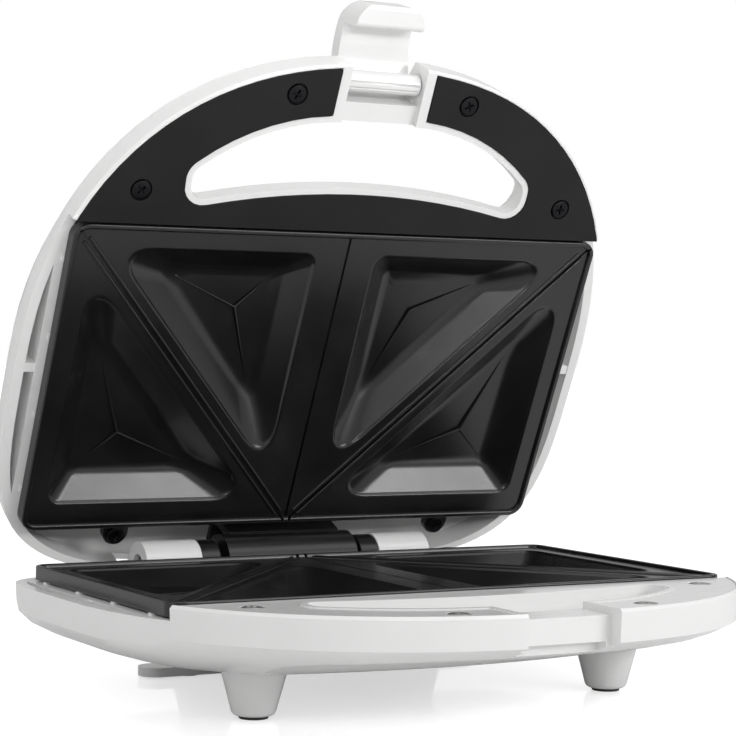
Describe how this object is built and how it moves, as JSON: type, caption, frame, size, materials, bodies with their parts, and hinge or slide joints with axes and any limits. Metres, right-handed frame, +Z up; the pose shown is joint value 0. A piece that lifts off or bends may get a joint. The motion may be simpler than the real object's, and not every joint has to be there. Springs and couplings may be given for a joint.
{
  "type": "sandwich toaster",
  "caption": "Countertop sandwich toaster with hinged upper housing, triangular-pocket non-stick plates, finger-opening handles and a snap latch.",
  "frame": {"origin": "middle of the footprint of the toaster as it stands with its lid open, on the plane the foot pads rest on", "axes": "+X along the hinge, -Y towards the handle, +Z up"},
  "size_m": [0.242, 0.2335, 0.2485],
  "materials": {
    "white_housing": "glossy white",
    "nonstick_plate": "satin black non-stick coating on cast aluminium",
    "black_plastic": "fine matt black",
    "black_screw": "black oxide",
    "steel_rod": "plain drawn steel",
    "bright_sheet": "bright sheet",
    "ceramic_white": "plain",
    "terminal_plastic": "plain",
    "dark_rubber": "matt",
    "circuit_board": "plain",
    "red_lens": "clear red",
    "green_lens": "clear green"
  },
  "bodies": {
    "base": {"base_shell": "white_housing", "base_handle_cover": "white_housing", "base_cover_screws": "black_screw", "base_plate": "nonstick_plate", "base_plate_screws": "black_screw", "base_heater": "steel_rod", "base_heater_clamps": "bright_sheet", "base_heat_shield": "bright_sheet", "thermostat": "ceramic_white", "thermal_fuse": "steel_rod", "terminal_block": "terminal_plastic", "cord_inlet": "black_plastic", "foot_pads": "dark_rubber", "hinge_collars": "black_plastic"},
    "lid": {"lid_shell": "white_housing", "lid_handle_inlay": "black_plastic", "lid_inlay_screws": "black_screw", "lid_plate": "nonstick_plate", "lid_plate_screws": "black_screw", "lid_heater": "steel_rod", "lid_heater_clamps": "bright_sheet", "lid_heat_shield": "bright_sheet", "power_lens": "red_lens", "ready_lens": "green_lens", "lamp_board": "circuit_board", "hinge_barrel": "black_plastic", "hinge_pins": "steel_rod", "barrel_screws": "black_screw", "latch_pin": "steel_rod"},
    "latch_body": {"latch": "white_housing"}
  },
  "joints": [
    {"name": "lid_hinge", "type": "hinge", "parent": "base", "child": "lid", "pos_m": [0, 0.08511, 0.0383], "axis": [-1, 0, 0], "range_deg": [-65, 40]},
    {"name": "latch_hinge", "type": "hinge", "parent": "lid", "child": "latch_body", "pos_m": [0, 0.01309, 0.219], "axis": [-1, 0, 0], "range_deg": [-100, 0]}
  ]
}
